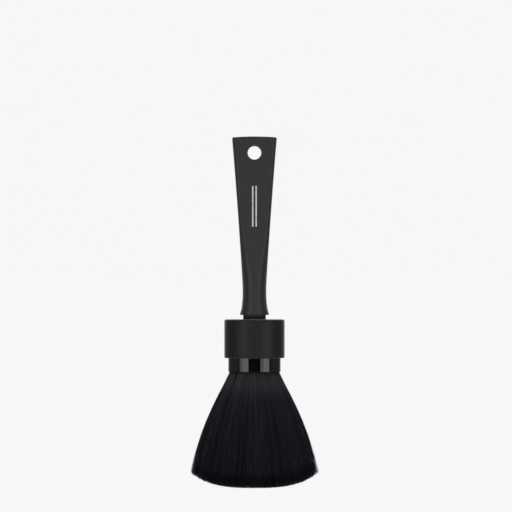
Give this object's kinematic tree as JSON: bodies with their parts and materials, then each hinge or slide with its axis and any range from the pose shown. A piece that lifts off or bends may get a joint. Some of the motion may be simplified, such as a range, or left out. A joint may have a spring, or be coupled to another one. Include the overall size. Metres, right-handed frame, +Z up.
{
  "type": "neck duster brush",
  "caption": "Flat-handled neck duster brush with an oval collar, a glossy ferrule and a soft black bristle fan that flexes to the front and back.",
  "frame": {"origin": "centre of the hang hole through the handle", "axes": "+Z up the handle with the bristles hanging down at -Z, the front of the brush faces -Y, +X to the right seen from the front"},
  "size_m": [0.082, 0.0212, 0.2281],
  "materials": {
    "satin_black_plastic": "satin",
    "matte_black_plastic": "matte",
    "gloss_black_plastic": "gloss",
    "cured_glue": "gloss",
    "waxed_cord": "matte",
    "pale_plastic": "matte",
    "black_bristle": "satin"
  },
  "bodies": {
    "brush_body": {"handle": "satin_black_plastic", "collar": "matte_black_plastic", "ferrule": "gloss_black_plastic", "glue_bed": "cured_glue", "root_binding": "waxed_cord", "spacer_plug": "pale_plastic", "bristle_base": "black_bristle"},
    "bristles": {"tuft_front_1": "black_bristle", "tuft_front_2": "black_bristle", "tuft_front_3": "black_bristle", "tuft_front_4": "black_bristle", "tuft_front_5": "black_bristle", "tuft_middle_1": "black_bristle", "tuft_middle_2": "black_bristle", "tuft_middle_3": "black_bristle", "tuft_middle_4": "black_bristle", "tuft_middle_5": "black_bristle", "tuft_back_1": "black_bristle", "tuft_back_2": "black_bristle", "tuft_back_3": "black_bristle", "tuft_back_4": "black_bristle", "tuft_back_5": "black_bristle", "tuft_left": "black_bristle", "tuft_right": "black_bristle"}
  },
  "joints": [
    {"name": "bristle_flex", "type": "hinge", "parent": "brush_body", "child": "bristles", "pos_m": [0, 0, -0.1424], "axis": [1, 0, 0], "range_deg": [-30, 30], "stiffness_Nm_per_rad": 0.08}
  ]
}
